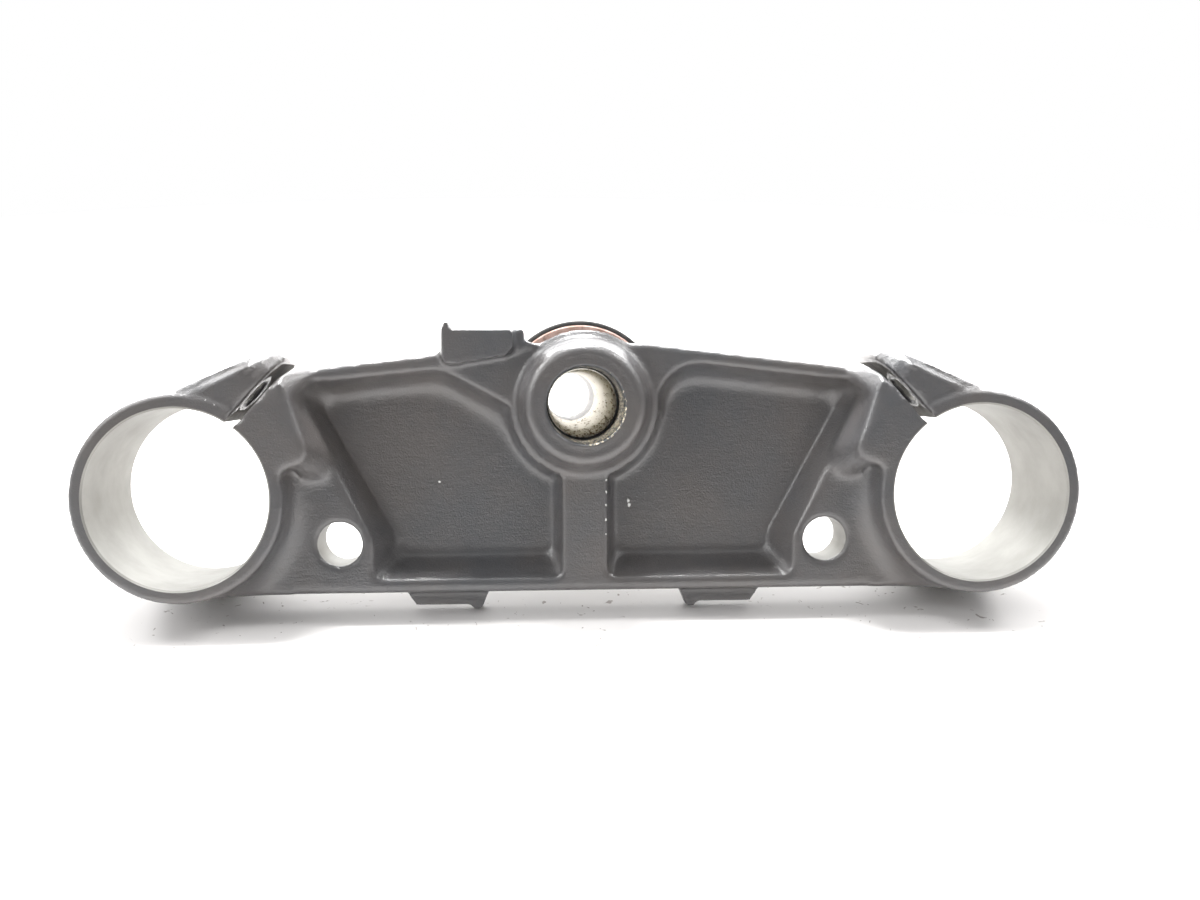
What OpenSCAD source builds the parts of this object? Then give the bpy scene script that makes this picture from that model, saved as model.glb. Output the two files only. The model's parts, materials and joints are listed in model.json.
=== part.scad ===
// Lower triple clamp of a motorcycle, with its steering stem, dust seal and bearing race.
// The casting is drawn face on: x to the right, y up, and depth away from the viewer, with
// the stem axis at x = 0, y = 0 and the underside of the clamp rings at depth 0.

/* [Fork clamps] */
// Distance between the two fork bores
fork_spacing = 224; // [212:1:236]
// Distance from the stem axis down to the line of the fork bores
fork_offset = 25.2; // [22:0.2:30]
// Diameter of each fork bore
fork_d = 50; // [46:0.5:52]
// Wall of each clamp ring
ring_wall = 3.9; // [3.4:0.1:5]
// Depth of the rings along the forks
ring_depth = 39; // [36:0.5:44]
// Chamfer at both ends of the fork bores
bore_chamfer = 0.5; // [0.2:0.1:1]

/* [Pinch joint] */
// Width of the saw cut in each ring
slit_w = 2.9; // [2:0.1:4]
// Angle of the saw cut above the line of the fork bores
slit_angle = 49; // [46:1:52]
// Distance of the cut's middle from the bore's centre
slit_shift = 2.35; // [1:0.05:3]
// Reach of the lugs from the bore's centre
lug_reach = 48.3; // [47.5:0.1:50]
// Radius of the lugs' rounded ends, front and back
lug_round = 13; // [8:0.5:15]
// Thickness of the outer lug at its end
lug_tip = 3.8; // [3:0.1:5]
// Taper of the outer lug's back against the cut
lug_taper = 25; // [23:0.5:26]
// Height of the pad under the bolt heads
pad_step = 1.5; // [1:0.1:2]
// Distance of the pinch bolts from the bore's centre
bolt_reach = 34.5; // [34:0.5:36]
// Distance between the two pinch bolts of a ring
bolt_gap = 19; // [17:0.5:20]
// Clearance hole of a pinch bolt
bolt_d = 8.5; // [6.5:0.1:9]
// Tapping hole of a pinch bolt
tap_d = 6.8; // [5:0.1:7]
// Depth of the tapping hole below the cut
tap_depth = 12; // [9:0.5:13]
// Diameter of the seat of a bolt head
seat_d = 14; // [13:0.5:15]
// Thickness of lug left under a bolt head
seat_grip = 6.2; // [5:0.2:7]

/* [Body] */
// Depth from the ring faces to the flat face of the body
face_depth = 10; // [8:0.5:12]
// Thickness of the body at its edges and bolt holes
body_t = 16; // [14:0.5:18]
// Depth of the two pockets
pocket_depth = 10; // [8:0.5:11]
// Width of the rib between the pockets
rib_w = 12.8; // [10:0.2:16]
// Width of the rim above the pockets
top_rim = 3.7; // [3:0.1:5]
// Width of the rim below the pockets
low_rim = 3.7; // [3:0.1:6]
// Diameter of the two through holes
hole_d = 12.6; // [10:0.1:13]
// Distance of the through holes from the fork bores, across
hole_in = 42.2; // [41:0.1:43]
// Distance of the through holes below the fork bores
hole_down = 14.2; // [12:0.1:16]
// Height of the stiffening beam on the back, at the stem
beam_h = 10; // [6:0.5:12]

/* [Stem] */
// Outer radius of the stem boss
boss_r = 19; // [18.5:0.1:20]
// Depth of the boss face behind the ring faces
boss_depth = 2; // [1:0.5:4]
// Diameter of the opening in the boss face
mouth_d = 21.6; // [20.8:0.1:22.4]
// Depth of the stem's near end below the boss face
stem_inset = 22; // [18:0.5:24]
// Diameter of the stem in the boss
stem_d = 30; // [29:0.1:31]
// Diameter of the stem between its bearings
shank_d = 27.2; // [26.6:0.1:28]
// Diameter of the upper bearing's seat
upper_d = 26; // [25.6:0.1:26.4]
// Diameter of the threaded end
thread_d = 25; // [24:0.1:25.4]
// Bore through the stem
stem_bore = 19; // [17:0.1:20]
// Depth of the stem's far end behind the ring faces
stem_end = 190; // [175:1:205]
// Length of the threaded end
thread_l = 20; // [15:1:25]

/* [Seal and race] */
// Diameter of the steel washer
washer_d = 47.6; // [44:0.1:49]
// Thickness of the steel washer
washer_t = 1.6; // [1.2:0.1:2.5]
// Diameter over the rubber lip
lip_d = 50.4; // [50:0.1:53]
// Height of the rubber lip
lip_h = 4.6; // [3:0.1:6]
// Width of the bearing's inner race
race_w = 13.5; // [11:0.1:16]
// Diameter of the race's large shoulder
race_d = 39; // [37:0.1:41]

/* [Bracket and stops] */
// Width of the upright bracket on the top edge
bracket_w = 23.4; // [18:0.2:26]
// Distance of the bracket's outer side from the stem axis
bracket_x = 40.4; // [38:0.2:44]
// Height of the bracket's edge above the stem axis
bracket_top = 21.6; // [20:0.2:26]
// Depth of the bracket's face behind the ring faces
bracket_depth = 7; // [5:0.5:9]
// Thickness of the bracket
bracket_t = 9; // [6:0.5:12]
// Height of the hooked corner of the bracket
hook_h = 2; // [1:0.1:3]
// Depth of the steering stops behind the ring faces
stop_depth = 16; // [15:0.5:18]
// Thickness of the steering stops
stop_t = 6; // [5:0.5:8]
// Drop of the stops below the body
stop_drop = 4.5; // [4:0.1:5]
// Drop of the stops' inner noses below the body
nose_drop = 5.7; // [5.4:0.1:7]
// Distance of the noses from the stem axis
nose_x = 31.2; // [28:0.2:36]
// Length of a stop outside its nose
stop_l = 20.8; // [16:0.2:24]

/* [Hidden] */
$fn = 96;
steps = 5;

fork_x = fork_spacing / 2;
fork_y = -fork_offset;
ring_r = fork_d / 2 + ring_wall;
ring_edge = 0.6;
body_low = fork_y - ring_r + 0.3;
body_back = face_depth + body_t;
stem_r = stem_d / 2;

// Top edge of the body: a straight slope from the boss down to each pinch block
edge_in = [boss_r - 3, boss_r - 1.6];
edge_out = [fork_x - 33, fork_y + lug_reach * sin(slit_angle) - 1.2];
edge_slope = (edge_out[1] - edge_in[1]) / (edge_out[0] - edge_in[0]);
function edge_y(x) = edge_in[1] + (x - edge_in[0]) * edge_slope;

// Pocket outline, and how far its walls lean in from the rim to the floor
pocket_out_x = fork_x - 51.2;
pocket_top_x = fork_x - 29.1;
pocket_knee = fork_y - 12.9;
pocket_boss_r = boss_r + 1.3;
draft_low = 6.2;
draft_side = 6.5;
draft_rib = 3.7;
draft_top = 7;
draft_boss = 4.9;
// Down the pocket wall: shares of the depth, of the filleted walls' inset and of the sloping walls'
pocket_wall = [[0, 0, 0], [0.25, 0.08, 0.22], [0.45, 0.17, 0.42], [0.66, 0.29, 0.61],
               [0.82, 0.45, 0.77], [0.93, 0.65, 0.9], [0.985, 0.84, 0.98], [1, 1, 1]];

// Slit frame: t runs outwards along the cut and b across it, away from the body
slit_in = slit_shift - slit_w / 2;
slit_out = slit_shift + slit_w / 2;
lug_front = 0.8;
pad_front = 2;
pad_short = 1;
ridge_top = [28.2, 33.9];
ridge_low = [35.8, 13.2];
bolt_depths = [ring_depth / 2 - bolt_gap / 2, ring_depth / 2 + bolt_gap / 2];

stem_front = boss_depth + stem_inset;
mouth_edge = 0.6;
boss_edge = 0.8;
boss_root = 3;
ring_root = 7.5;
washer_front = ring_depth;
race_front = washer_front + washer_t;
race_back = race_front + race_w;

// The clamp leans back until it rests on the noses of its stops and on the stem's end
thread_chamfer = 0.8;
rest_front = [body_low - nose_drop, stop_depth + stop_t];
rest_back = [-thread_d / 2, stem_end - thread_chamfer];
lean = atan2(rest_back[0] - rest_front[0], rest_back[1] - rest_front[1]);

// Where a [y, depth] point of the drawing comes to lie once the clamp leans back
function rest_y(p) = p[0] * sin(lean) + p[1] * cos(lean);
function rest_z(p) = p[0] * cos(lean) - p[1] * sin(lean);
rest_low = rest_z(rest_front);
rest_near = rest_y([fork_y - ring_r + ring_edge, 0]);
rest_far = rest_y([thread_d / 2 - thread_chamfer, stem_end]);

function unit(v) = v / norm(v);

function reversed(list) = [for (i = [len(list) - 1:-1:0]) list[i]];

function arc(centre, r, from, to, n) =
    [for (k = [0:n]) centre + r * [cos(from + (to - from) * k / n), sin(from + (to - from) * k / n)]];

// Corner p between a and c, rounded to radius r
function corner(a, p, c, r, n) =
    let (u = unit(a - p), v = unit(c - p), half = acos(u * v) / 2,
         centre = p + unit(u + v) * r / sin(half),
         s = p + u * r / tan(half) - centre, e = p + v * r / tan(half) - centre,
         from = atan2(s[1], s[0]), turn = (atan2(e[1], e[0]) - from + 540) % 360 - 180)
    arc(centre, r, from, from + turn, n);

// Closed outline from [x, y, radius] corners; a radius of 0 keeps the corner sharp
function outline(c, n = steps) = [for (i = [0:len(c) - 1])
    let (a = c[(i + len(c) - 1) % len(c)], p = c[i], b = c[(i + 1) % len(c)])
    each (p[2] == 0 ? [[p[0], p[1]]] :
        corner([a[0], a[1]], [p[0], p[1]], [b[0], b[1]], p[2], n))];

// Rounds the corners of an open run of [x, y, radius] points, and leaves out its two ends
function run(c, n = steps) = [for (i = [1:len(c) - 2])
    each corner([c[i - 1][0], c[i - 1][1]], [c[i][0], c[i][1]], [c[i + 1][0], c[i + 1][1]], c[i][2], n)];

// Outline of a pocket on the right-hand side: e and s run from its rim (0) to its floor (1),
// e for the walls that end in a fillet and s for the lower and outer walls, which slope
function pocket_outline(e, s, side) =
    let (x0 = rib_w / 2 + e * draft_rib, x1 = pocket_out_x - s * draft_side,
         x2 = pocket_top_x - s * draft_side, y0 = body_low + low_rim + s * draft_low,
         r = pocket_boss_r + e * draft_boss, last = -acos(x0 / r),
         from = side == 0 ? 8 - 18 * e : -16 - 22 * e,
         start = r * [cos(from), sin(from)], along = [-sin(from), cos(from)],
         shoulder = side == 0 ? [18.6 + 6.6 * e, 0, 12 - 3 * e] : [40.5 + e, 0.6, 10 + 20 * e],
         knee = side == 0 ? [] : [concat(start + along * (5.5 + 3.5 * e), [1.5 + 14 * e])])
    concat(
        run(concat([[x0, 0, 0], [x0, y0, 2.5 + e], [x1, y0, 2.8 + s], [x1, pocket_knee, 8],
             [x2, edge_y(x2) - top_rim - e * draft_top, 4],
             [shoulder[0], edge_y(shoulder[0]) - top_rim - shoulder[1] - e * draft_top, shoulder[2]]],
             knee, [[start[0], start[1], 0]])),
        arc([0, 0], r, from, last, 9));

// Solid through a list of [depth, outline] levels, front to back
module loft(levels) {
    n = len(levels[0][1]);
    last = len(levels) - 1;
    points = [for (l = levels) for (p = l[1]) [p[0], p[1], -l[0]]];
    sides = [for (k = [0:last - 1]) for (i = [0:n - 1]) let (j = (i + 1) % n)
        each [[k * n + i, k * n + j, k * n + n + j], [k * n + i, k * n + n + j, k * n + n + i]]];
    front = [for (i = [n - 1:-1:0]) i];
    back = [for (i = [0:n - 1]) last * n + i];
    polyhedron(points, concat([front], sides, [back]));
}

// Extrudes an outline between two depths
module slab(front, back) translate([0, 0, -back]) linear_extrude(back - front) children();

// Turns a [radius, depth] profile about the axis
module turned(profile) rotate_extrude() polygon([for (p = profile) [p[0], -p[1]]]);

module both_sides() {
    children();
    mirror([1, 0, 0]) children();
}

// Places a shape at the right-hand fork bore, with t and b as its x and y
module at_slit() translate([fork_x, fork_y, 0]) mirror([1, 0, 0]) rotate([0, 0, slit_angle]) children();

module clamp_ring() translate([fork_x, fork_y, 0]) {
    inner = fork_d / 2 - 2;
    turned([[inner, 0], [ring_r - ring_edge, 0], [ring_r, ring_edge], [ring_r, ring_depth - ring_edge],
            [ring_r - ring_edge, ring_depth], [inner, ring_depth]]);
}

module fork_bore() translate([fork_x, fork_y, 0]) {
    r = fork_d / 2;
    c = bore_chamfer;
    turned([[0, -1], [r + c + 1, -1], [r, c], [r, ring_depth - c], [r + c + 1, ring_depth + 1],
            [0, ring_depth + 1]]);
}

// Concave fillet round a ring or the boss, where it rises from the body's face
module root_fillet(r, size) turned(concat([[r - 1, face_depth - size], [r - 1, face_depth + 1],
    [r + size, face_depth + 1]], [for (p = arc([r + size, face_depth - size], size, 90, 180, 6)) p]));

// Envelope of a lug: its free end is rounded over front and back
module lug_envelope(front, reach, r) rotate([90, 0, 0]) mirror([0, 1, 0])
    linear_extrude(80, center = true)
        polygon(outline([[0, front, 0], [reach, front, r], [reach, ring_depth - front, r],
                         [0, ring_depth - front, 0]]));

// The outer lug's back, a given step below the pad; its long edges are rounded
module lug_back(step) {
    edge = 2;
    far = ring_depth - lug_front;
    translate([lug_reach, slit_out + lug_tip - step, 0]) rotate([90, 0, 90 - lug_taper])
        linear_extrude(90, center = true)
            polygon(outline([[-40, -lug_front, 0], [0, -lug_front, edge], [0, -far, edge], [-40, -far, 0]]));
}

// Flat wedge on the ring's side of the cut, up to the pad's height
module lug_wedge(root, reach, front) {
    high = slit_out + lug_tip;
    rise = tan(lug_taper);
    slab(front, ring_depth - front)
        polygon([[root, slit_shift], [reach, slit_shift], [reach, high + (lug_reach - reach) * rise],
                 [root, high + (lug_reach - root) * rise]]);
}

// Lug that belongs to the ring, outside the cut, with a raised pad under the bolt heads
module outer_lug() at_slit() {
    root = fork_d / 2 - 6;
    intersection() {
        lug_wedge(root, lug_reach, lug_front);
        lug_envelope(lug_front, lug_reach, lug_round);
        lug_back(pad_step);
    }
    intersection() {
        lug_wedge(root + 4, lug_reach - pad_short, pad_front);
        lug_envelope(pad_front, lug_reach - pad_short, lug_round - pad_front);
    }
}

// Block on the body's side of the cut, which takes the threads of the pinch bolts
module pinch_block() intersection() {
    translate([fork_x, fork_y, 0]) mirror([1, 0, 0]) slab(0, ring_depth)
        polygon(outline([[14, 8, 0], [16, 20, 0], [ridge_top[0] - 1.8, ridge_top[1] - 0.5, 0],
            [ridge_top[0], ridge_top[1], 1], [ridge_low[0], ridge_low[1], 3], [34.4, 9.8, 2], [27, 6.9, 1]]));
    at_slit() lug_envelope(0, lug_reach, lug_round);
}

// Sloping foot of the block, from its ridge (e = 0) out to the rim of the pocket (e = 1)
function foot_outline(e) = reversed(outline([[30.2, 10, 0], [26.9, 30.5, 0],
    [ridge_top[0] + 0.2 + e, ridge_top[1] - 0.8 + e, 1], [29.8 + 1.4 * e, 30.3, 2],
    [ridge_low[0] - 0.2 + 5 * e, ridge_low[1] - 1.4 * e, 3], [34.2 + 6 * e, 9.8 - 5.4 * e, 2],
    [31 + 2 * e, 8.8 - 5 * e, 0]], 4));
module block_foot() translate([fork_x, fork_y, 0]) mirror([1, 0, 0])
    loft([for (level = [[0.6, 0], [1.6, 0.08], [face_depth, 1], [body_back - 1, 1]])
        [level[0], foot_outline(level[1])]]);

module pinch_cuts() at_slit() {
    clear = 30;
    drill_tip = tap_d * 0.3;
    slab(-1, ring_depth + 1) translate([fork_d / 2 - 10, slit_in]) square([clear + 20, slit_w]);
    for (depth = bolt_depths) translate([bolt_reach, 0, -depth]) rotate([-90, 0, 0]) {
        translate([0, 0, slit_shift]) cylinder(d = bolt_d, h = clear);
        translate([0, 0, slit_in - tap_depth]) cylinder(d = tap_d, h = tap_depth + 1);
        translate([0, 0, slit_in - tap_depth - drill_tip]) cylinder(d1 = 0.2, d2 = tap_d, h = drill_tip);
        translate([0, 0, slit_out + seat_grip]) cylinder(d = seat_d, h = clear);
    }
}

// Plate outline: flat bottom between the rings, two slopes on top
module body_outline() {
    half = [[fork_x, body_low], [fork_x, fork_y], [fork_x - 20, fork_y + 17], edge_out, edge_in];
    polygon(concat(half, reversed([for (p = half) [-p[0], p[1]]])));
}

// Stiffening beam across the back, tallest at the stem and clear of the through holes
module beam() intersection() {
    end_x = fork_x - 12;
    low = fork_y - hole_down + hole_d / 2 + 3.6;
    shoulder = [fork_x - 32, edge_out[1] - 4];
    half = [[12, boss_r - 5, 4], [shoulder[0], shoulder[1], 4], [end_x, fork_y + 12, 4],
            [end_x, low, 4], [boss_r + 1, -boss_r - 4, 12]];
    slab(body_back - 1, ring_depth)
        polygon(outline(concat(reversed(half), [for (p = half) [-p[0], p[1], p[2]]])));
    crown = body_back + beam_h;
    side = body_back + beam_h * 0.45;
    rotate([90, 0, 0]) linear_extrude(200, center = true)
        polygon([[-fork_x, 0], [-fork_x, -side], [-boss_r, -crown], [boss_r, -crown],
                 [fork_x, -side], [fork_x, 0]]);
}

module boss() {
    inner = mouth_d / 2 - 1;
    crown = 3;
    turned(concat([[inner, boss_depth + 0.5], [mouth_d / 2 + 2.6, boss_depth + 0.3]],
        arc([boss_r - crown - 1.6, boss_depth + crown], crown, -90, 0, 6),
        [[boss_r - boss_edge, face_depth - 2], [boss_r, face_depth], [boss_r, ring_depth],
         [inner, ring_depth]]));
    root_fillet(boss_r - 0.5, boss_root);
}

module boss_bore() turned([[0, -1], [mouth_d / 2 + mouth_edge, -1], [mouth_d / 2 + mouth_edge, boss_depth],
    [mouth_d / 2, boss_depth + mouth_edge], [mouth_d / 2, stem_front], [stem_r, stem_front],
    [stem_r, ring_depth + 1], [0, ring_depth + 1]]);

// Upright bracket on the top edge, with a hooked outer corner and a fillet at its foot
module bracket() {
    x0 = -bracket_x;
    x1 = x0 + bracket_w;
    y0 = edge_y(-x0);
    y1 = edge_y(-x1);
    top = bracket_top;
    hook = top + hook_h;
    near = x1 - 3.4;
    slab(bracket_depth, bracket_depth + bracket_t)
        polygon(outline([[x0, y0 - 1.6, 1], [x0 + 2, y0 - 3.4, 1], [near - 1.4, y1 - 3.4, 3],
            [near + 0.6, y1 - 1, 2], [near, top, 0.5], [x0 + 2.3, top, 0.4],
            [x0 + 2.3, hook, 0.7], [x0 + 1, hook, 0.7], [x0, top - 0.6, 1]]));
    slab(face_depth - 0.6, bracket_depth + bracket_t)
        polygon(outline([[near - 4, y1 - 4, 0], [x1 + 3.2, y1 - 0.4, 0], [x1 + 1.8, y1 + 0.4, 0],
            [x1, y1 + 1, 1], [x1, top, 0.7], [near - 4, top, 0]]));
    foot = 2.6;
    slab(face_depth, body_back)
        polygon(concat([[x0 - 3, edge_y(-x0 + 3) - 1], [x0 + 1, y0 - 1], [x0 + 1, y0 + foot]],
            reversed(arc([x0 - foot, y0 + foot - 0.3], foot, -90, 0, 5))));
}

// Steering stop under the body, with a nose at its inner end
module stop() slab(stop_depth, stop_depth + stop_t)
    polygon(outline([[nose_x - 3.8, body_low + 3, 0], [nose_x - 3.6, body_low, 1],
        [nose_x - 1.8, body_low - nose_drop + 1.4, 0.8], [nose_x - 1.4, body_low - nose_drop, 0.5],
        [nose_x + 1.4, body_low - nose_drop, 0.4], [nose_x + 1.8, body_low - stop_drop, 0.2],
        [nose_x + stop_l - 3, body_low - stop_drop, 1.2], [nose_x + stop_l, body_low, 1],
        [nose_x + stop_l, body_low + 3, 0]]));

// Rounds the lower front edge of the body
module low_edge_round() {
    r = 2;
    rotate([90, 0, 90]) linear_extrude(2 * fork_x - 2 * ring_r, center = true)
        translate([body_low, -face_depth]) difference() {
            translate([-1, -r]) square([r + 1, r + 1]);
            translate([r, -r]) circle(r);
        }
}

module yoke_casting() difference() {
    union() {
        difference() {
            union() {
                slab(face_depth, body_back) body_outline();
                beam();
            }
            pocket_cut(0);
            mirror([1, 0, 0]) pocket_cut(1);
            low_edge_round();
        }
        both_sides() {
            clamp_ring();
            outer_lug();
            pinch_block();
            block_foot();
            stop();
            intersection() {
                translate([fork_x, fork_y, 0]) root_fillet(ring_r, ring_root);
                slab(0, body_back) translate([fork_x - 60, body_low]) square([60, ring_r + 8]);
            }
        }
        boss();
        bracket();
    }
    both_sides() {
        fork_bore();
        pinch_cuts();
        slab(-1, body_back + 5) translate([fork_x - hole_in, fork_y - hole_down]) circle(d = hole_d);
    }
    boss_bore();
}

// Pocket beside the rib: side 0 is the right-hand one, side 1 the one under the bracket
module pocket_cut(side) {
    levels = concat([[-1 / pocket_depth, 0, 0]], pocket_wall);
    loft([for (w = levels) [face_depth + w[0] * pocket_depth, pocket_outline(w[1], w[2], side)]]);
}

module stem_shape() {
    shank = shank_d / 2;
    upper = upper_d / 2;
    thread = thread_d / 2;
    c = thread_chamfer;
    bore = stem_bore / 2;
    thread_front = stem_end - thread_l;
    seat_front = thread_front - 20;
    turned([[bore + 0.6, stem_front], [stem_r - 0.5, stem_front], [stem_r, stem_front + 0.5],
        [stem_r, race_back + 2], [shank, race_back + 10], [shank, seat_front - 2], [upper, seat_front],
        [upper, thread_front - 1], [thread, thread_front], [thread, stem_end - c], [thread - c, stem_end],
        [bore + 1.2, stem_end], [bore, stem_end - 1.2], [bore, stem_front + 0.6]]);
}

// Stands the drawing up as the clamp rests, centred over a floor at z = 0
module as_it_rests() translate([0, -(rest_near + rest_far) / 2, -rest_low]) rotate([90 - lean, 0, 0])
    children();

module yoke() color([0.2, 0.2, 0.21]) as_it_rests() yoke_casting();

module steering_stem() color([0.72, 0.7, 0.66]) as_it_rests() stem_shape();

module seal_washer() color([0.55, 0.4, 0.32]) as_it_rests() {
    r = washer_d / 2;
    turned([[stem_r, washer_front], [r - 0.4, washer_front], [r, washer_front + 0.4],
            [r, race_front], [stem_r, race_front]]);
}

module seal_lip() color([0.16, 0.16, 0.16]) as_it_rests() {
    r = washer_d / 2;
    lip = lip_d / 2;
    front = washer_front + 0.4;
    turned([[r, front], [lip - 0.3, front], [lip, front + 0.3], [lip + 0.2, front + lip_h],
            [lip - 0.5, front + lip_h], [r, race_front + 0.3]]);
}

module bearing_race() color([0.6, 0.6, 0.62]) as_it_rests() {
    r = race_d / 2;
    small = r - 2.4;
    c = 0.5;
    turned([[stem_r, race_front], [r - c, race_front], [r, race_front + c], [r, race_front + 2.4],
            [r - 0.9, race_front + 2.8], [small - 0.6, race_back - 1.6], [small, race_back - 1.2],
            [small, race_back - c], [small - c, race_back], [stem_r, race_back]]);
}

yoke();
steering_stem();
seal_washer();
seal_lip();
bearing_race();
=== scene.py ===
import bpy
import bmesh
import json
import math
from mathutils import Matrix, Vector


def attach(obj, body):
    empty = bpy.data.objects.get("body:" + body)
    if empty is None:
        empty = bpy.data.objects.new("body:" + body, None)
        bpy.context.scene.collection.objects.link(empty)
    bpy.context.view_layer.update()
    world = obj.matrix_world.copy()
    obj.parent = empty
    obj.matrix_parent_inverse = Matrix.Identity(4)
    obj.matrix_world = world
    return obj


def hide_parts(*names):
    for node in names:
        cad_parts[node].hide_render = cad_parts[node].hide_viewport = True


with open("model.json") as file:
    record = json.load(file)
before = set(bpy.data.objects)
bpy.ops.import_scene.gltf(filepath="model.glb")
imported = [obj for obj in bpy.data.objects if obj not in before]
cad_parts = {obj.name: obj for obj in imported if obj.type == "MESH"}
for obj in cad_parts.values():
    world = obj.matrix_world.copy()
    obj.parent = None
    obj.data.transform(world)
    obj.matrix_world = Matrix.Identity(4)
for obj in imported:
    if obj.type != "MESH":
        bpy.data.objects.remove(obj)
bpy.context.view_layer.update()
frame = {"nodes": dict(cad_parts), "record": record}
mounts = {m["name"]: m for m in frame["record"]["mounts"]}
print("frame: the packed clamp is loaded")

# where the clamp lies: x across the forks, y up its face, z out of the face, all in metres
layout = {"ringMiddle": 0.0195, "forkDrop": 0.0252, "forkX": 0.112, "ringDepth": 0.039}
leftClamp = Vector(mounts["fork_clamp_left"]["pos_m"])
rightClamp = Vector(mounts["fork_clamp_right"]["pos_m"])
faceOut = Vector(mounts["fork_clamp_left"]["axis"]).normalized()
across = (rightClamp - leftClamp).normalized()
upFace = faceOut.cross(across)
stemFront = (leftClamp + rightClamp) / 2 + faceOut * layout["ringMiddle"] + upFace * layout["forkDrop"]
place = Matrix((across, upFace, faceOut)).transposed().to_4x4()
place.translation = stemFront
toClamp = place.inverted()


def makeObject(name, bm):
    mesh = bpy.data.meshes.new(name)
    bm.to_mesh(mesh)
    bm.free()
    obj = bpy.data.objects.new(name, mesh)
    bpy.context.scene.collection.objects.link(obj)
    return obj


def addShape(bm, part):
    mesh = bpy.data.meshes.new("part")
    part.to_mesh(mesh)
    part.free()
    bm.from_mesh(mesh)
    bpy.data.meshes.remove(mesh)


def rightWay(bm):
    bmesh.ops.recalc_face_normals(bm, faces=bm.faces)


# turns a closed (radius, depth) profile in mm about the z axis, then moves it to where it belongs
def turnProfile(bm, profile, where=Matrix.Identity(4), steps=128):
    part = bmesh.new()
    verts = [part.verts.new((r / 1000, 0, -d / 1000)) for r, d in profile]
    edges = [part.edges.new(pair) for pair in zip(verts, verts[1:] + verts[:1])]
    bmesh.ops.spin(part, geom=verts + edges, cent=(0, 0, 0), axis=(0, 0, 1), angle=math.tau,
                   steps=steps, use_merge=True)
    bmesh.ops.remove_doubles(part, verts=part.verts, dist=1e-6)
    bmesh.ops.dissolve_degenerate(part, edges=part.edges, dist=1e-7)
    bmesh.ops.transform(part, matrix=where, verts=part.verts)
    rightWay(part)
    addShape(bm, part)


def applyModifiers(obj):
    depsgraph = bpy.context.evaluated_depsgraph_get()
    mesh = bpy.data.meshes.new_from_object(obj.evaluated_get(depsgraph))
    obj.modifiers.clear()
    obj.data = mesh


def cutAway(obj, cutter, material):
    cutter.data.materials.append(material)
    cut = obj.modifiers.new("cut", "BOOLEAN")
    cut.operation = "DIFFERENCE"
    cut.solver = "MANIFOLD"
    cut.material_mode = "TRANSFER"
    cut.object = cutter
    applyModifiers(obj)
    bpy.data.objects.remove(cutter)


def shadeSmooth(obj, sharp):
    for poly in obj.data.polygons:
        poly.use_smooth = True
    obj.data.set_sharp_from_angle(angle=math.radians(sharp))


# finishes

# fills a node's inputs: a socket is linked, and anything else is a fixed value
def setInputs(tree, node, inputs):
    for key, value in inputs.items():
        if isinstance(value, bpy.types.NodeSocket):
            tree.links.new(value, node.inputs[key])
        else:
            node.inputs[key].default_value = value


def addNode(tree, kind, inputs, **settings):
    node = tree.nodes.new("ShaderNode" + kind)
    for key, value in settings.items():
        setattr(node, key, value)
    setInputs(tree, node, inputs)
    return node


def startMaterial(name, roughness, metallic=0.0):
    mat = bpy.data.materials.new(name)
    mat.use_nodes = True
    tree = mat.node_tree
    setInputs(tree, tree.nodes["Principled BSDF"], {"Roughness": roughness, "Metallic": metallic})
    return mat, tree, addNode(tree, "TexCoord", {}).outputs["Object"]


def finishMaterial(mat, inputs):
    setInputs(mat.node_tree, mat.node_tree.nodes["Principled BSDF"], inputs)
    return mat


def noiseNode(tree, vector, scale, detail, rough, distortion=0.0):
    noise = addNode(tree, "TexNoise", {"Vector": vector, "Scale": scale, "Detail": detail,
                                       "Roughness": rough, "Distortion": distortion})
    return noise.outputs["Fac"]


def rampNode(tree, value, span, lowColor, highColor):
    ramp = addNode(tree, "ValToRGB", {"Fac": value})
    for element, position, color in zip(ramp.color_ramp.elements, span, (lowColor, highColor)):
        element.position, element.color = position, color
    return ramp.outputs["Color"]


# a mix node has its colours at inputs 6 and 7 and at output 2
def mixColor(tree, factor, a, b):
    return addNode(tree, "Mix", {"Factor": factor, 6: a, 7: b}, data_type="RGBA").outputs[2]


def rangeNode(tree, value, fromLow, fromHigh, low=0.0, high=1.0):
    limits = {"Value": value, "From Min": fromLow, "From Max": fromHigh, "To Min": low, "To Max": high}
    return addNode(tree, "MapRange", limits).outputs["Result"]


# as rangeNode, for a value that already runs from 0 to 1
def spreadNode(tree, value, low, high):
    return rangeNode(tree, value, 0.0, 1.0, low, high)


def bumpNode(tree, height, distance, before=None):
    inputs = {"Distance": distance, "Strength": 1.0, "Height": height}
    if before is not None:
        inputs["Normal"] = before
    return addNode(tree, "Bump", inputs).outputs["Normal"]


def mathNode(tree, operation, a, b):
    return addNode(tree, "Math", {0: a, 1: b}, operation=operation).outputs[0]


def distanceNode(tree, vector, point):
    return addNode(tree, "VectorMath", {0: vector, 1: point}, operation="DISTANCE").outputs["Value"]


# turns Object coordinates into the clamp's own, with z out of its face, and scales them
def clampCoords(tree, coords, scale=(1, 1, 1)):
    turned = addNode(tree, "Mapping", {"Vector": coords, "Rotation": toClamp.to_euler(),
                                       "Location": toClamp.translation})
    return addNode(tree, "Mapping", {"Vector": turned.outputs["Vector"], "Scale": scale}).outputs["Vector"]


# in each finish below, a noise is (scale, detail, roughness), a span is the part of a noise over which
# one colour gives way to the other, and the depth of a bump is in metres

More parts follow.
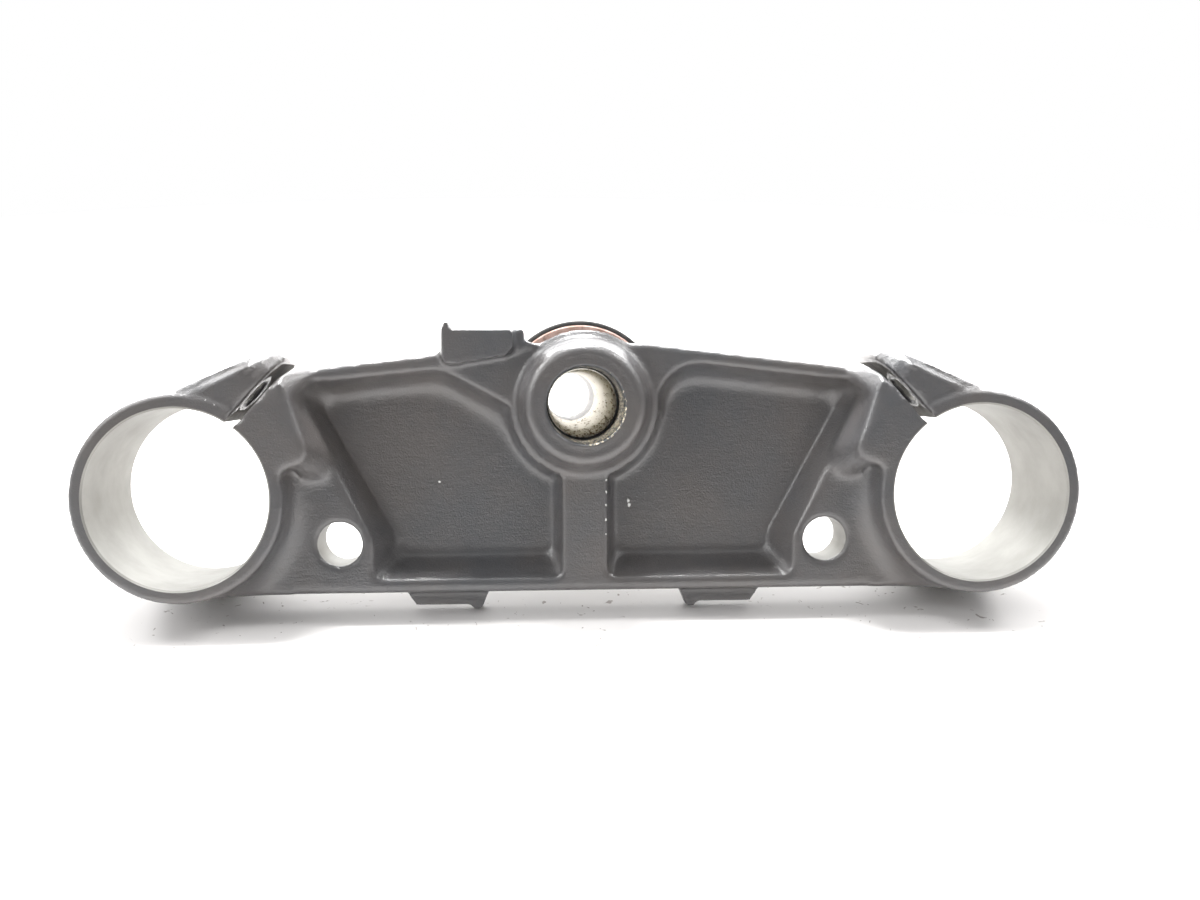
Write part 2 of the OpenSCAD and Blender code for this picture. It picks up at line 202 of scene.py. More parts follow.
coating = {"dark": (0.060, 0.061, 0.065, 1), "brown": (0.078, 0.071, 0.068, 1), "blotch": (26, 5, 0.6),
           "blotchSpan": (0.36, 0.64), "roughness": 0.36, "glossier": 0.05, "duller": 0.08,
           "smear": (60, 6, 0.65), "smearSpan": (0.3, 0.7), "peel": (300, 2, 0.5), "peelDepth": 0.00008,
           "streak": (1100, 3, 0.6), "streakScale": (0.22, 1, 1), "streakDepth": 0.00007,
           "grain": (1700, 3, 0.65), "grainDepth": 0.00012, "coat": 0.75, "coatRoughness": 0.14}

# small chips in the coating: x, y and height over the rings' face in mm, size in mm
chips = [(13.2, -28.7, -20, 0.5), (13.5, -30.0, -20, 0.6), (18.7, -48.3, -20, 0.5), (11.6, -45.4, -20, 0.4),
         (-42.1, -22.7, -20, 0.4), (-16.7, 11.8, -10, 0.3), (-15.8, 10.1, -10, 0.3), (-18.1, 9.3, -10, 0.25),
         (-18.1, 6.1, -10, 0.25), (-17.3, 2.2, -9, 0.4), (6.2, -21.7, -10.4, 0.4), (6.2, -25.1, -10.4, 0.45),
         (6.1, -28.9, -10.4, 0.35), (6.0, -33.2, -10.4, 0.4), (5.9, -37.3, -10.4, 0.3),
         (-103.3, 2.0, 0, 0.3), (-100.9, 0.9, 0, 0.3)]
chipLook = {"color": (0.66, 0.66, 0.64, 1), "wobble": (1900, 3, 0.7), "wobbleSpan": (0.3, 0.7),
            "wobbleBy": (0.6, 2.2)}


# 1 inside a chip and 0 outside it, with an uneven outline
def chipShape(tree, own):
    wobble = rangeNode(tree, noiseNode(tree, own, *chipLook["wobble"]), *chipLook["wobbleSpan"],
                       *chipLook["wobbleBy"])
    total = None
    for x, y, z, size in chips:
        gap = distanceNode(tree, own, (x / 1000, y / 1000, z / 1000))
        shape = rangeNode(tree, mathNode(tree, "MULTIPLY", gap, wobble), size / 1000, size / 850, 1.0, 0.0)
        total = shape if total is None else mathNode(tree, "MAXIMUM", total, shape)
    return total


def coatedMaterial():
    mat, tree, coords = startMaterial("satinBlackCoating", coating["roughness"])
    own = clampCoords(tree, coords)
    base = rampNode(tree, noiseNode(tree, coords, *coating["blotch"]), coating["blotchSpan"],
                    coating["dark"], coating["brown"])
    smear = noiseNode(tree, coords, *coating["smear"])
    roughness = rangeNode(tree, smear, *coating["smearSpan"], coating["roughness"] - coating["glossier"],
                          coating["roughness"] + coating["duller"])
    streak = noiseNode(tree, clampCoords(tree, coords, coating["streakScale"]), *coating["streak"])
    bump = bumpNode(tree, noiseNode(tree, own, *coating["peel"]), coating["peelDepth"])
    bump = bumpNode(tree, streak, coating["streakDepth"], bump)
    bump = bumpNode(tree, noiseNode(tree, own, *coating["grain"]), coating["grainDepth"], bump)
    return finishMaterial(mat, {"Base Color": mixColor(tree, chipShape(tree, own), base, chipLook["color"]),
                                "Roughness": roughness, "Normal": bump, "Coat Normal": bump,
                                "Coat Weight": coating["coat"], "Coat Roughness": coating["coatRoughness"]})


# the mouth's wall is rubbed through to the metal in specks, most of them round one place low down, and the
# rubbed colour is made light to stand in for light on that wall, a painted highlight; the place and the
# distances from it are in metres
mouthRubAndSheen = {"rubbedAndLit": (0.74, 0.66, 0.50, 1), "metallic": 0.85, "roughness": 0.32,
            "at": (0.0085, -0.0065, -0.013), "reach": (0.008, 0.018), "rubAndSheenBy": (0.07, -0.12),
            "speck": (1100, 4, 0.75), "speckScale": (1, 1, 0.15), "speckSpan": (0.51, 0.59),
            "speckDepth": 0.00008}


def mouthMaterial():
    mat, tree, coords = startMaterial("rubbedSheenMouth", mouthRubAndSheen["roughness"])
    gap = distanceNode(tree, clampCoords(tree, coords), mouthRubAndSheen["at"])
    stretched = clampCoords(tree, coords, mouthRubAndSheen["speckScale"])
    speck = mathNode(tree, "ADD", noiseNode(tree, stretched, *mouthRubAndSheen["speck"]),
                     rangeNode(tree, gap, *mouthRubAndSheen["reach"], *mouthRubAndSheen["rubAndSheenBy"]))
    rubAndSheen = rangeNode(tree, speck, *mouthRubAndSheen["speckSpan"])
    # painted highlight: the light rubbed colour stands in for light falling on the mouth's wall, on top of real
    # rubbed metal
    return finishMaterial(mat, {"Base Color": mixColor(tree, rubAndSheen, coating["dark"], mouthRubAndSheen["rubbedAndLit"]),
                                "Metallic": spreadNode(tree, rubAndSheen, 0.0, mouthRubAndSheen["metallic"]),
                                "Normal": bumpNode(tree, speck, mouthRubAndSheen["speckDepth"])})


sawCut = {"dark": (0.115, 0.110, 0.102, 1), "light": (0.23, 0.22, 0.20, 1), "roughness": 0.72,
          "specular": 0.25, "worn": (170, 5, 0.65), "wornSpan": (0.42, 0.72), "wornDepth": 0.00008}


# walls of the saw cut: thin matt paint that shows some of the metal
def sawCutMaterial():
    mat, tree, coords = startMaterial("paintedSawCut", sawCut["roughness"])
    worn = noiseNode(tree, coords, *sawCut["worn"])
    base = rampNode(tree, worn, sawCut["wornSpan"], sawCut["dark"], sawCut["light"])
    return finishMaterial(mat, {"Base Color": base, "Specular IOR Level": sawCut["specular"],
                                "Normal": bumpNode(tree, worn, sawCut["wornDepth"])})


bareMetal = {"light": (0.285, 0.281, 0.264, 1), "dull": (0.25, 0.246, 0.23, 1), "roughness": 0.5,
             "metallic": 0.7, "ridge": 0.000006}
drilled = {"light": (0.26, 0.255, 0.24, 1), "dull": (0.18, 0.172, 0.155, 1), "roughness": 0.6,
           "metallic": 0.2, "ridge": 0.00001}
machining = {"lines": (1, 3, 0.6), "linesScale": (60, 60, 2600), "stain": (70, 5, 0.6),
             "stainSpan": (0.3, 0.62), "roughSpan": (0.3, 0.7), "roughBy": 0.05, "edge": (0.5, 0.5, 0.5, 1)}


# machined aluminium: fine lines run round the bores, so the pattern changes along the depth
def machinedMaterial(name, look):
    mat, tree, coords = startMaterial(name, look["roughness"], look["metallic"])
    lines = noiseNode(tree, clampCoords(tree, coords, machining["linesScale"]), *machining["lines"])
    stain = noiseNode(tree, coords, *machining["stain"])
    roughness = rangeNode(tree, stain, *machining["roughSpan"], look["roughness"] + machining["roughBy"],
                          look["roughness"] - machining["roughBy"])
    base = rampNode(tree, stain, machining["stainSpan"], look["dull"], look["light"])
    return finishMaterial(mat, {"Base Color": base, "Specular Tint": machining["edge"],
                                "Roughness": roughness, "Normal": bumpNode(tree, lines, look["ridge"])})


# places are in the clamp's own metres; the rim is a painted shade band over the bore's far end, from 142 mm
# deep to the stem's end, and the gap is a painted shadow ring on the stem's end face round its near end
stemSteel = {"light": (0.86, 0.84, 0.76, 1), "edge": (0.88, 0.84, 0.76, 1), "roughness": 0.34,
             "grease": (0.34, 0.275, 0.185, 1), "greaseRoughness": 0.8, "greaseMetallic": 0.5,
             "nearZ": (-0.085, -0.026), "nearBy": (-0.03, 0.03), "lowY": (-0.010, 0.006),
             "lowBy": (0.03, -0.03), "speck": (900, 4, 0.75), "speckScale": (1, 1, 0.12),
             "speckSpan": (0.56, 0.61), "speckDepth": 0.00002,
             "rim": (0.42, 0.41, 0.39, 1), "farShadeZ": (-0.1420, -0.1395), "specular": 0.5, "farShadeSpecular": 0.05,
             "gap": (0.05, 0.048, 0.045, 1), "shadeRingAt": (-0.0001, 0.0001, -0.0240),
             "shadeRingReach": (0.0102, 0.01025), "shadeRingZ": (-0.0245, -0.0243)}


# bright steel with specks of old grease, most of them low down inside the near end of the bore; both ends of
# the bore also carry painted shade
def stemMaterial():
    s = stemSteel
    mat, tree, coords = startMaterial("oiledSteel", s["roughness"])
    own = clampCoords(tree, coords)
    along = addNode(tree, "SeparateXYZ", {0: own}).outputs
    dirt = mathNode(tree, "ADD", rangeNode(tree, along["Z"], *s["nearZ"], *s["nearBy"]),
                    rangeNode(tree, along["Y"], *s["lowY"], *s["lowBy"]))
    stretched = clampCoords(tree, coords, s["speckScale"])
    speck = mathNode(tree, "ADD", noiseNode(tree, stretched, *s["speck"]), dirt)
    grease = rangeNode(tree, speck, *s["speckSpan"])
    # painted shade: from 142 mm deep to the far end the bore turns a dull grey with almost no shine
    rim = rangeNode(tree, along["Z"], *s["farShadeZ"], 1.0, 0.0)
    # painted shadow: a near-black ring on the stem's end face, just outside the mouth's edge
    gap = mathNode(tree, "MULTIPLY", rangeNode(tree, distanceNode(tree, own, s["shadeRingAt"]), *s["shadeRingReach"]),
                   rangeNode(tree, along["Z"], *s["shadeRingZ"]))
    base = mixColor(tree, grease, s["light"], s["grease"])
    # painted shade over the far end, then painted shadow on the near end face
    base = mixColor(tree, rim, base, s["rim"])
    base = mixColor(tree, gap, base, s["gap"])
    metallic = mathNode(tree, "MULTIPLY", spreadNode(tree, grease, 1.0, s["greaseMetallic"]),
                        spreadNode(tree, rim, 1.0, 0.0))
    return finishMaterial(mat, {"Base Color": base, "Metallic": metallic, "Specular Tint": s["edge"],
                                "Specular IOR Level": spreadNode(tree, rim, s["specular"], s["farShadeSpecular"]),
                                "Roughness": spreadNode(tree, grease, s["roughness"], s["greaseRoughness"]),
                                "Normal": bumpNode(tree, speck, s["speckDepth"])})


rust = {"pale": (0.56, 0.40, 0.355, 1), "deep": (0.38, 0.245, 0.20, 1), "stain": (0.07, 0.05, 0.045, 1),
        "roughness": 0.6, "metallic": 0.35, "fine": (420, 6, 0.7), "fineSpan": (0.38, 0.6),
        "fineDepth": 0.00006, "patch": (95, 4, 0.6, 0.6), "patchSpan": (0.58, 0.68), "patchMost": 0.8}


def rustedMaterial():
    mat, tree, coords = startMaterial("rustedSteel", rust["roughness"], rust["metallic"])
    fine = noiseNode(tree, coords, *rust["fine"])
    base = rampNode(tree, fine, rust["fineSpan"], rust["deep"], rust["pale"])
    patch = rangeNode(tree, noiseNode(tree, coords, *rust["patch"]), *rust["patchSpan"], 0.0, rust["patchMost"])
    return finishMaterial(mat, {"Base Color": mixColor(tree, patch, base, rust["stain"]),
                                "Normal": bumpNode(tree, fine, rust["fineDepth"])})


rubber = {"dark": (0.055, 0.054, 0.054, 1), "dusty": (0.11, 0.105, 0.10, 1), "roughness": 0.62,
          "dust": (240, 6, 0.65), "dustSpan": (0.4, 0.72), "dustDepth": 0.00005}


def rubberMaterial():
    mat, tree, coords = startMaterial("sealRubber", rubber["roughness"])
    dust = noiseNode(tree, coords, *rubber["dust"])
    base = rampNode(tree, dust, rubber["dustSpan"], rubber["dark"], rubber["dusty"])
    return finishMaterial(mat, {"Base Color": base, "Normal": bumpNode(tree, dust, rubber["dustDepth"])})


groundSteel = {"light": (0.60, 0.60, 0.61, 1), "dull": (0.42, 0.41, 0.40, 1), "roughness": 0.22,
               "haze": (130, 5, 0.6), "hazeSpan": (0.35, 0.7), "roughSpan": (0.3, 0.7),
               "roughBetween": (0.16, 0.34)}


def groundMaterial():
    mat, tree, coords = startMaterial("groundBearingSteel", groundSteel["roughness"], 1.0)
    haze = noiseNode(tree, coords, *groundSteel["haze"])
    base = rampNode(tree, haze, groundSteel["hazeSpan"], groundSteel["light"], groundSteel["dull"])
    roughness = rangeNode(tree, haze, *groundSteel["roughSpan"], *groundSteel["roughBetween"])
    return finishMaterial(mat, {"Base Color": base, "Roughness": roughness})


coatedFinish = coatedMaterial()
mouthFinish = mouthMaterial()
sawCutFinish = sawCutMaterial()
machinedFinish = machinedMaterial("machinedAluminium", bareMetal)
drilledFinish = machinedMaterial("drilledAluminium", drilled)
stemFinish = stemMaterial()
rustFinish = rustedMaterial()
rubberFinish = rubberMaterial()
groundFinish = groundMaterial()
print("finishes: made")

# the casting: its edges are softened as cast, and what is machined is cut sharp again

casting = {"voxel": 0.0007, "soften": (8, 36), "softenBy": 0.5, "faces": 180000, "sharp": 38,
           "quickVoxel": 1.8, "quickTurns": 3}

# radii, depths behind the rings' face and places in mm; t and b as in slitPlace
cuts = {"forkR": 25.0, "forkChamfer": 0.5, "slitAngle": 49, "slitIn": 0.9, "slitOut": 3.8,
        "slitMiddle": 38.5, "slitLong": 45, "slitDeep": 60, "boltT": 34.5, "boltDepths": (10, 29),
        "boltR": 4.25, "boltFrom": 2.3, "tapR": 3.4, "tapDepth": 12, "seatR": 7, "seatGrip": 6.2, "seatTop": 32,
        "holeX": 69.8, "holeY": -39.4, "holeR": 6.3, "holeFront": 10.3, "holeBack": 25.7, "holeFlare": 4.3,
        "mouthR": 10.8, "mouthRim": 1.2, "mouthSink": 0.1, "rimSteps": (0, 0.4, 0.8, 1.2, 1.57),
        "bossDepth": 2, "stemFront": 24, "stemR": 15, "past": 2}

# what fills the bores before the remesh, so that they are cut from full metal
fill = {"forkOver": 1, "mouthR": 12.4, "mouthEnd": 22, "stemR": 15.5, "stemFrom": 25}


def forkPlace(side):
    turn = Matrix.Identity(4) if side > 0 else Matrix.Scale(-1, 4, Vector((1, 0, 0)))
    return turn @ Matrix.Translation((layout["forkX"], -layout["forkDrop"], 0))


# t runs outwards along the saw cut, b across it and away from the web
def slitPlace(side):
    flip = Matrix.Scale(-1, 4, Vector((1, 0, 0)))
    return forkPlace(side) @ flip @ Matrix.Rotation(math.radians(cuts["slitAngle"]), 4, "Z")


def boltPlaces():
    upright = Matrix.Rotation(math.radians(90), 4, "X")
    return [slitPlace(side) @ Matrix.Translation((cuts["boltT"] / 1000, 0, -depth / 1000)) @ upright
            for side in (-1, 1) for depth in cuts["boltDepths"]]


# a point's place in mm: from the stem's axis, from the fork clamp on its side with u inwards and v
# upwards, in t and b as in slitPlace, and its depth behind the rings' face
def placeInMm(point):
    x, y, depth = point.x * 1000, point.y * 1000, -point.z * 1000
    u, v = layout["forkX"] * 1000 - abs(x), y + layout["forkDrop"] * 1000
    turn = math.radians(cuts["slitAngle"])
    t, b = u * math.cos(turn) + v * math.sin(turn), v * math.cos(turn) - u * math.sin(turn)
    return (x, y), (u, v), (t, b), depth


def boreCutter():
    bm = bmesh.new()
    r, c, past, deep = cuts["forkR"], cuts["forkChamfer"], cuts["past"], layout["ringDepth"] * 1000
    h, flare, front, back = cuts["holeR"], cuts["holeFlare"], cuts["holeFront"], cuts["holeBack"]
    for side in (-1, 1):
        turnProfile(bm, [(0, -past), (r + c + past, -past), (r, c), (r, deep - c), (r + c + past, deep + past),
                         (0, deep + past)], forkPlace(side), 160)
        hole = Matrix.Translation((side * cuts["holeX"] / 1000, cuts["holeY"] / 1000, 0))
        turnProfile(bm, [(0, front - flare), (h + flare, front - flare), (h, front), (h, back),
                         (h + flare, back + flare), (0, back + flare)], hole, 72)
    return makeObject("boreCutter", bm)


def slitCutter():
    bm = bmesh.new()
    wide, middle = cuts["slitOut"] - cuts["slitIn"], (cuts["slitOut"] + cuts["slitIn"]) / 2
    size = (cuts["slitLong"] / 1000, wide / 1000, cuts["slitDeep"] / 1000)
    centre = (cuts["slitMiddle"] / 1000, middle / 1000, -layout["ringMiddle"])
    for side in (-1, 1):
        part = bmesh.new()
        bmesh.ops.create_cube(part, size=1)
        bmesh.ops.scale(part, vec=size, verts=part.verts)
        bmesh.ops.translate(part, vec=centre, verts=part.verts)
        bmesh.ops.transform(part, matrix=slitPlace(side), verts=part.verts)
        rightWay(part)
        addShape(bm, part)
    return makeObject("slitCutter", bm)


def boltCutter():
    bm = bmesh.new()
    inner, outer = cuts["slitIn"] - cuts["tapDepth"], cuts["slitOut"] + cuts["seatGrip"] + 1
    tap, bolt, middle = cuts["tapR"], cuts["boltR"], cuts["boltFrom"]
    for where in boltPlaces():
        turnProfile(bm, [(0, inner - 2), (tap, inner), (tap, middle), (bolt, middle), (bolt, outer),
                         (0, outer)], where, 64)
    return makeObject("boltCutter", bm)


def seatCutter():
    bm = bmesh.new()
    seat, r, top = cuts["slitOut"] + cuts["seatGrip"], cuts["seatR"], cuts["seatTop"]
    for where in boltPlaces():
        turnProfile(bm, [(0, seat), (r, seat), (r, top), (0, top)], where, 64)
    return makeObject("seatCutter", bm)


# the mouth with its rounded rim, and the press fit of the stem behind it
def mouthCutter():
    bm = bmesh.new()
    r, rim, front = cuts["mouthR"], cuts["mouthRim"], cuts["bossDepth"] - cuts["mouthSink"]
    far, stemR, past = cuts["stemFront"], cuts["stemR"], cuts["past"]
    back = layout["ringDepth"] * 1000 + 3
    rounded = [(r + rim * (1 - math.sin(a)), front + rim * (1 - math.cos(a))) for a in cuts["rimSteps"]]
    straight = [(r, far), (stemR, far), (stemR, back), (0, back)]
    turnProfile(bm, [(0, -past), (r + rim, -past)] + rounded + straight, steps=120)
    return makeObject("mouthCutter", bm)


# how far a point in mm lies outside a box of (low, high) pairs
def outside(point, box):
    return math.dist(point, [min(max(p, low), high) for p, (low, high) in zip(point, box)])


# the first pass has its lowest weight inside these boxes, in x, y and depth, and for the lug in t, b
# and depth; outside them it rises by 1 in each "fade" mm
crispBoxes = [(0.05, ((-44, -36), (18, 30), (-1, 18))), (0.5, ((-36, -15), (12, 30), (-1, 18))),
              (0.25, ((-60, 60), (-64, -56), (10, 25)))]
crispLug = (0.4, ((26, 60), (4.5, 30), (5, 40)))

# the second pass works inside these boxes, in u, v and depth, and ends "softFade" mm outside them
softBoxes = [((28, 35), (14, 33), (-1, 12)), ((28, 42), (2, 14), (-1, 12))]
softness = {"fade": 3, "softFade": 6}


# weights of the two smoothing passes at a point: thin forms keep their edges, thick ones are rounder
def castSoftness(point):
    (x, y), (u, v), (t, b), depth = placeInMm(point)
    fade = softness["fade"]
    plain = [low + outside((x, y, depth), box) / fade for low, box in crispBoxes]
    plain.append(crispLug[0] + outside((t, b, depth), crispLug[1]) / fade)
    soft = 1 - min(outside((u, v, depth), box) for box in softBoxes) / softness["softFade"]
    return min(1, *plain), max(0, soft) * min(1, max(0, -b / fade))


# metal that bridges the casting's steps at the top of each pinch block: u, v and depth in mm
blendPoints = [(28.2, 33.6, 2.5), (29.6, 35.1, 6.5), (31.0, 36.8, 13), (33.5, 36.8, 13), (36.8, 34.6, 10),
               (36, 33, 10), (33, 29, 7), (31, 28, 2.5)]


def addBlends(bm):
    for side in (-1, 1):
        part = bmesh.new()
        for u, v, depth in blendPoints:
            for d in (depth, layout["ringDepth"] * 1000 - depth):
                part.verts.new((side * (layout["forkX"] - u / 1000), v / 1000 - layout["forkDrop"], -d / 1000))
        hull = bmesh.ops.convex_hull(part, input=part.verts)
        inside = {v for v in hull["geom_interior"] if isinstance(v, bmesh.types.BMVert)}
        bmesh.ops.delete(part, geom=list(inside), context="VERTS")
        rightWay(part)
        addShape(bm, part)


# the bevel as cast on the lugs' outer front edge, in mm: the edge runs from "from" to "to" in t, and
# in b from "tipB" at the tip, with a rise towards the ring; the bevel sets in over "fadeIn"
lugBevel = {"wide": 1.7, "deep": 2.4, "from": 27, "to": 48.3, "tipB": 6.1, "rise": 0.466, "fadeIn": 3,
            "reach": 0.2}


def bevelLugs(obj):
    bevel = lugBevel
    for vert in obj.data.vertices:
        _, _, (t, b), depth = placeInMm(vert.co)
        inFront = depth < bevel["deep"] + bevel["reach"]
        if not (bevel["from"] < t < bevel["to"] and inFront and b > cuts["slitOut"]):
            continue
        edge = bevel["tipB"] + (bevel["to"] - t) * bevel["rise"]
        down = min(1, (b - edge) / bevel["wide"] + 1) * bevel["deep"]
        if down > 0:
            share = min(1, (t - bevel["from"]) / bevel["fadeIn"])
            vert.co.z = -(depth + (down - depth) * share) / 1000


def softenEdges(obj):
    groups = [obj.vertex_groups.new(name="plain"), obj.vertex_groups.new(name="soft")]
    byWeight = {}
    for vert in obj.data.vertices:
        for k, weight in enumerate(castSoftness(vert.co)):
            byWeight.setdefault((k, round(weight * 10)), []).append(vert.index)
    for (k, tenths), found in byWeight.items():
        groups[k].add(found, tenths / 10, "REPLACE")
    for group, turns in zip(groups, casting["soften"]):
        soften = obj.modifiers.new("soften", "SMOOTH")
        soften.factor = casting["softenBy"]
        soften.iterations = turns
        soften.vertex_group = group.name
    applyModifiers(obj)


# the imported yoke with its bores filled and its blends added
def fullCasting():
    bm = bmesh.new()
    bm.from_mesh(frame["nodes"]["yoke"].data)
    bmesh.ops.remove_doubles(bm, verts=bm.verts, dist=1e-6)
    bmesh.ops.transform(bm, matrix=toClamp, verts=bm.verts)
    forkR, deep = cuts["forkR"] + fill["forkOver"], layout["ringDepth"] * 1000
    mouthR, stemR, front = fill["mouthR"], fill["stemR"], cuts["bossDepth"]
    for side in (-1, 1):
        turnProfile(bm, [(0, 0), (forkR, 0), (forkR, deep), (0, deep)], forkPlace(side), 160)
    turnProfile(bm, [(0, front), (mouthR, front), (mouthR, fill["mouthEnd"]), (stemR, fill["stemFrom"]),
                     (stemR, deep), (0, deep)], steps=120)
    rightWay(bm)
    addBlends(bm)
    return makeObject("castYoke", bm)


def castYoke():
    obj = fullCasting()
    obj.data.materials.append(coatedFinish)
    remesh = obj.modifiers.new("remesh", "REMESH")
    remesh.mode = "VOXEL"
    remesh.voxel_size = casting["voxel"] * 1
    applyModifiers(obj)
    bevelLugs(obj)
    softenEdges(obj)
    many = len(obj.data.polygons) * 2
    if many > casting["faces"]:
        thin = obj.modifiers.new("thin", "DECIMATE")
        thin.ratio = casting["faces"] / many
        applyModifiers(obj)
    print("casting: softened to", len(obj.data.polygons), "faces, from", many)
    cutAway(obj, boreCutter(), machinedFinish)
    cutAway(obj, mouthCutter(), mouthFinish)
    cutAway(obj, slitCutter(), sawCutFinish)
    cutAway(obj, boltCutter(), drilledFinish)
    cutAway(obj, seatCutter(), machinedFinish)
    obj.data.transform(place)
    shadeSmooth(obj, casting["sharp"])
    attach(obj, "root")
    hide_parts("yoke")
    return obj


yoke = castYoke()
print("casting: cut,", len(yoke.data.polygons), "faces")

# stem, seal and race: turned pieces, with radii and depths behind the rings' face in mm

turned = {"edgeSteps": 2, "sharp": 40}


def finishTurned(obj, material, node, width, edgeAngle=30):
    obj.data.transform(place)
    obj.data.materials.append(material)
    edge = obj.modifiers.new("edge", "BEVEL")
    edge.width = width
    edge.segments = turned["edgeSteps"]
    edge.limit_method = "ANGLE"
    edge.angle_limit = math.radians(edgeAngle)
    applyModifiers(obj)
    shadeSmooth(obj, turned["sharp"])
    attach(obj, "root")
    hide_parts(node)


stem = {"front": 24, "radius": 15, "shank": 13.6, "upper": 13, "thread": 12.5, "bore": 9.5, "mouth": 10.1,
        "end": 190, "raceBack": 54.1, "seatLength": 20, "threadLength": 20, "pitch": 1.0, "threadDeep": 0.55,
        "threadFrom": 0.6, "threadTo": 1.2, "groove": (0.42, 0.52, 0.94), "taper": 50, "chamfer": 0.5,
        "endOuter": 0.8, "endInner": 1.2, "edge": 0.0002, "edgeAngle": 50}


def steeringStem():
    bm = bmesh.new()
    s = stem
    threadFront = s["end"] - s["threadLength"]
    seat = threadFront - s["seatLength"]
    outer = [(s["mouth"], s["front"]), (s["radius"] - s["chamfer"], s["front"]),
             (s["radius"], s["front"] + s["chamfer"]), (s["radius"], s["raceBack"] + 2),
             (s["shank"], s["raceBack"] + 10), (s["shank"], seat - 2), (s["upper"], seat),
             (s["upper"], threadFront - 1), (s["thread"], threadFront)]
    root = s["thread"] - s["threadDeep"]
    down, up, out = s["groove"]
    grooves = []
    for k in range(int((s["threadLength"] - s["threadFrom"] - s["threadTo"]) / s["pitch"])):
        d = threadFront + s["threadFrom"] + k * s["pitch"]
        grooves += [(s["thread"], d), (root, d + down), (root, d + up), (s["thread"], d + out)]
    end = [(s["thread"], s["end"] - s["endOuter"]), (s["thread"] - s["endOuter"], s["end"]),
           (s["bore"] + s["endInner"], s["end"]), (s["bore"], s["end"] - s["endInner"]),
           (s["bore"], s["front"] + s["taper"])]
    turnProfile(bm, outer + grooves + end)
    finishTurned(makeObject("stemTube", bm), stemFinish, "steering_stem", s["edge"],
                 s["edgeAngle"])


seal = {"front": 39, "washerR": 23.8, "washerT": 1.6, "washerChamfer": 0.4, "washerEdge": 0.00015,
        "lipR": 25.2, "lipH": 4.6, "lipChamfer": 0.3, "lipFlare": 0.2, "lipTip": 0.5, "lipEdge": 0.0002,
        "stemR": 15}


def sealWasher():
    bm = bmesh.new()
    s = seal
    back, c = s["front"] + s["washerT"], s["washerChamfer"]
    turnProfile(bm, [(s["stemR"], s["front"]), (s["washerR"] - c, s["front"]), (s["washerR"], s["front"] + c),
                     (s["washerR"], back), (s["stemR"], back)])
    finishTurned(makeObject("dustWasher", bm), rustFinish, "seal_washer", s["washerEdge"])


def sealLip():
    bm = bmesh.new()
    s = seal
    front, c = s["front"] + s["washerChamfer"], s["lipChamfer"]
    back = front + s["lipH"]
    turnProfile(bm, [(s["washerR"], front), (s["lipR"] - c, front), (s["lipR"], front + c),
                     (s["lipR"] + s["lipFlare"], back), (s["lipR"] - s["lipTip"], back),
                     (s["washerR"], s["front"] + s["washerT"] + c)])
    finishTurned(makeObject("dustLip", bm), rubberFinish, "seal_lip", s["lipEdge"])


race = {"front": 40.6, "back": 54.1, "big": 19.5, "small": 17.1, "bore": 15, "chamfer": 0.5,
        "lip": (2.4, 2.8), "lipDrop": 0.9, "backRib": (1.6, 1.2), "backDrop": 0.6, "edge": 0.00015}


def bearingRace():
    bm = bmesh.new()
    r, c = race, race["chamfer"]
    turnProfile(bm, [(r["bore"], r["front"]), (r["big"] - c, r["front"]), (r["big"], r["front"] + c),
                     (r["big"], r["front"] + r["lip"][0]), (r["big"] - r["lipDrop"], r["front"] + r["lip"][1]),
                     (r["small"] - r["backDrop"], r["back"] - r["backRib"][0]),
                     (r["small"], r["back"] - r["backRib"][1]), (r["small"], r["back"] - c),
                     (r["small"] - c, r["back"]), (r["bore"], r["back"])])
    finishTurned(makeObject("lowerRace", bm), groundFinish, "bearing_race", r["edge"])


steeringStem()
sealWasher()
sealLip()
bearingRace()
print("stem, seal and race: turned")

# table, light and camera

table = {"size": 8.0, "color": (0.75, 0.735, 0.725, 1), "speck": (0.36, 0.33, 0.31, 1), "roughness": 0.8,
         "fleck": (240, 2, 0.5, 1.6), "fleckSpan": (0.27, 0.31), "clear": (0.35, 0.9)}


# a plain white table: the camera sees it pure white further off, with the shadow kept near the part
def tableTop():
    bm = bmesh.new()
    bmesh.ops.create_grid(bm, x_segments=1, y_segments=1, size=table["size"] / 2)
    obj = makeObject("tableTop", bm)
    mat, tree, coords = startMaterial("whiteTable", table["roughness"])
    fleck = noiseNode(tree, coords, *table["fleck"])
    base = rampNode(tree, fleck, table["fleckSpan"], table["speck"], table["color"])
    finishMaterial(mat, {"Base Color": base})
    length = addNode(tree, "VectorMath", {0: coords}, operation="LENGTH").outputs["Value"]
    seen = addNode(tree, "LightPath", {}).outputs["Is Camera Ray"]
    far = mathNode(tree, "MULTIPLY", seen, rangeNode(tree, length, *table["clear"]))
    white = addNode(tree, "Emission", {"Strength": 1.0})
    mix = addNode(tree, "MixShader", {0: far, 1: tree.nodes["Principled BSDF"].outputs[0], 2: white.outputs[0]})
    setInputs(tree, tree.nodes["Material Output"], {"Surface": mix.outputs[0]})
    obj.data.materials.append(mat)


room = {"front": (0.345, 0.345, 0.35, 1), "back": (1.35, 1.35, 1.35, 1), "towards": (-0.12, 0.95, 0.25),
        "span": (-0.6, 0.6), "seen": (1, 1, 1, 1)}


